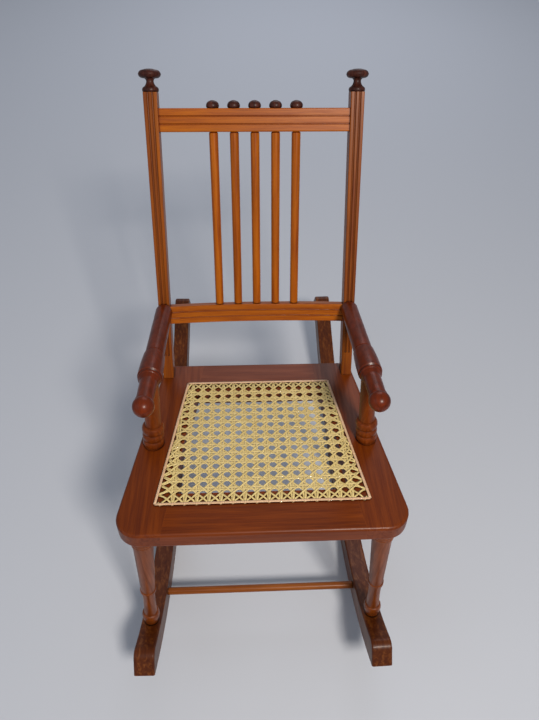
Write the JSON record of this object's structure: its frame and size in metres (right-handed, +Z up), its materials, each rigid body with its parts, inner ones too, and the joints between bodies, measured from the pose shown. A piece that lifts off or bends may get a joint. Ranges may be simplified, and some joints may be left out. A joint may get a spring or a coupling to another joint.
{
  "type": "rocking chair",
  "caption": "Child's wooden rocking chair: turned legs and arms with ball ends, reeded posts with finials, spindle back, cane seat, curved rockers.",
  "frame": {"origin": "on the floor, midway between the rockers and halfway along them", "axes": "+X to the chair's left-right axis (right as seen from the front), +Y to the back, +Z up"},
  "size_m": [0.361, 0.7404, 0.7028],
  "materials": {
    "seat_wood": "satin varnish",
    "arm_wood": "satin varnish",
    "leg_wood": "satin varnish",
    "rocker_wood": "satin varnish",
    "post_wood": "satin varnish",
    "rail_wood": "satin varnish",
    "dark_turnings": "dark satin varnish",
    "cane": "woven natural cane",
    "binding": "natural flat cane"
  },
  "bodies": {
    "root": {"arm_post_left": "arm_wood", "arm_post_right": "arm_wood", "armrest_left": "arm_wood", "armrest_right": "arm_wood", "back_post_left": "post_wood", "back_post_right": "post_wood", "cane_binding": "binding", "cane_panel": "cane", "finial_left": "dark_turnings", "finial_right": "dark_turnings", "front_leg_left": "leg_wood", "front_leg_right": "leg_wood", "front_stretcher": "rail_wood", "lower_back_rail": "rail_wood", "rear_leg_left": "leg_wood", "rear_leg_right": "leg_wood", "rear_stretcher": "rail_wood", "rocker_left": "rocker_wood", "rocker_right": "rocker_wood", "seat_frame_dowels": "seat_wood", "seat_front_rail": "seat_wood", "seat_rear_rail": "seat_wood", "seat_side_rail_left": "seat_wood", "seat_side_rail_right": "seat_wood", "spindle_1": "rail_wood", "spindle_2": "rail_wood", "spindle_3": "rail_wood", "spindle_4": "rail_wood", "spindle_5": "rail_wood", "spindle_button_1": "dark_turnings", "spindle_button_2": "dark_turnings", "spindle_button_3": "dark_turnings", "spindle_button_4": "dark_turnings", "spindle_button_5": "dark_turnings", "top_rail": "rail_wood"}
  },
  "joints": []
}
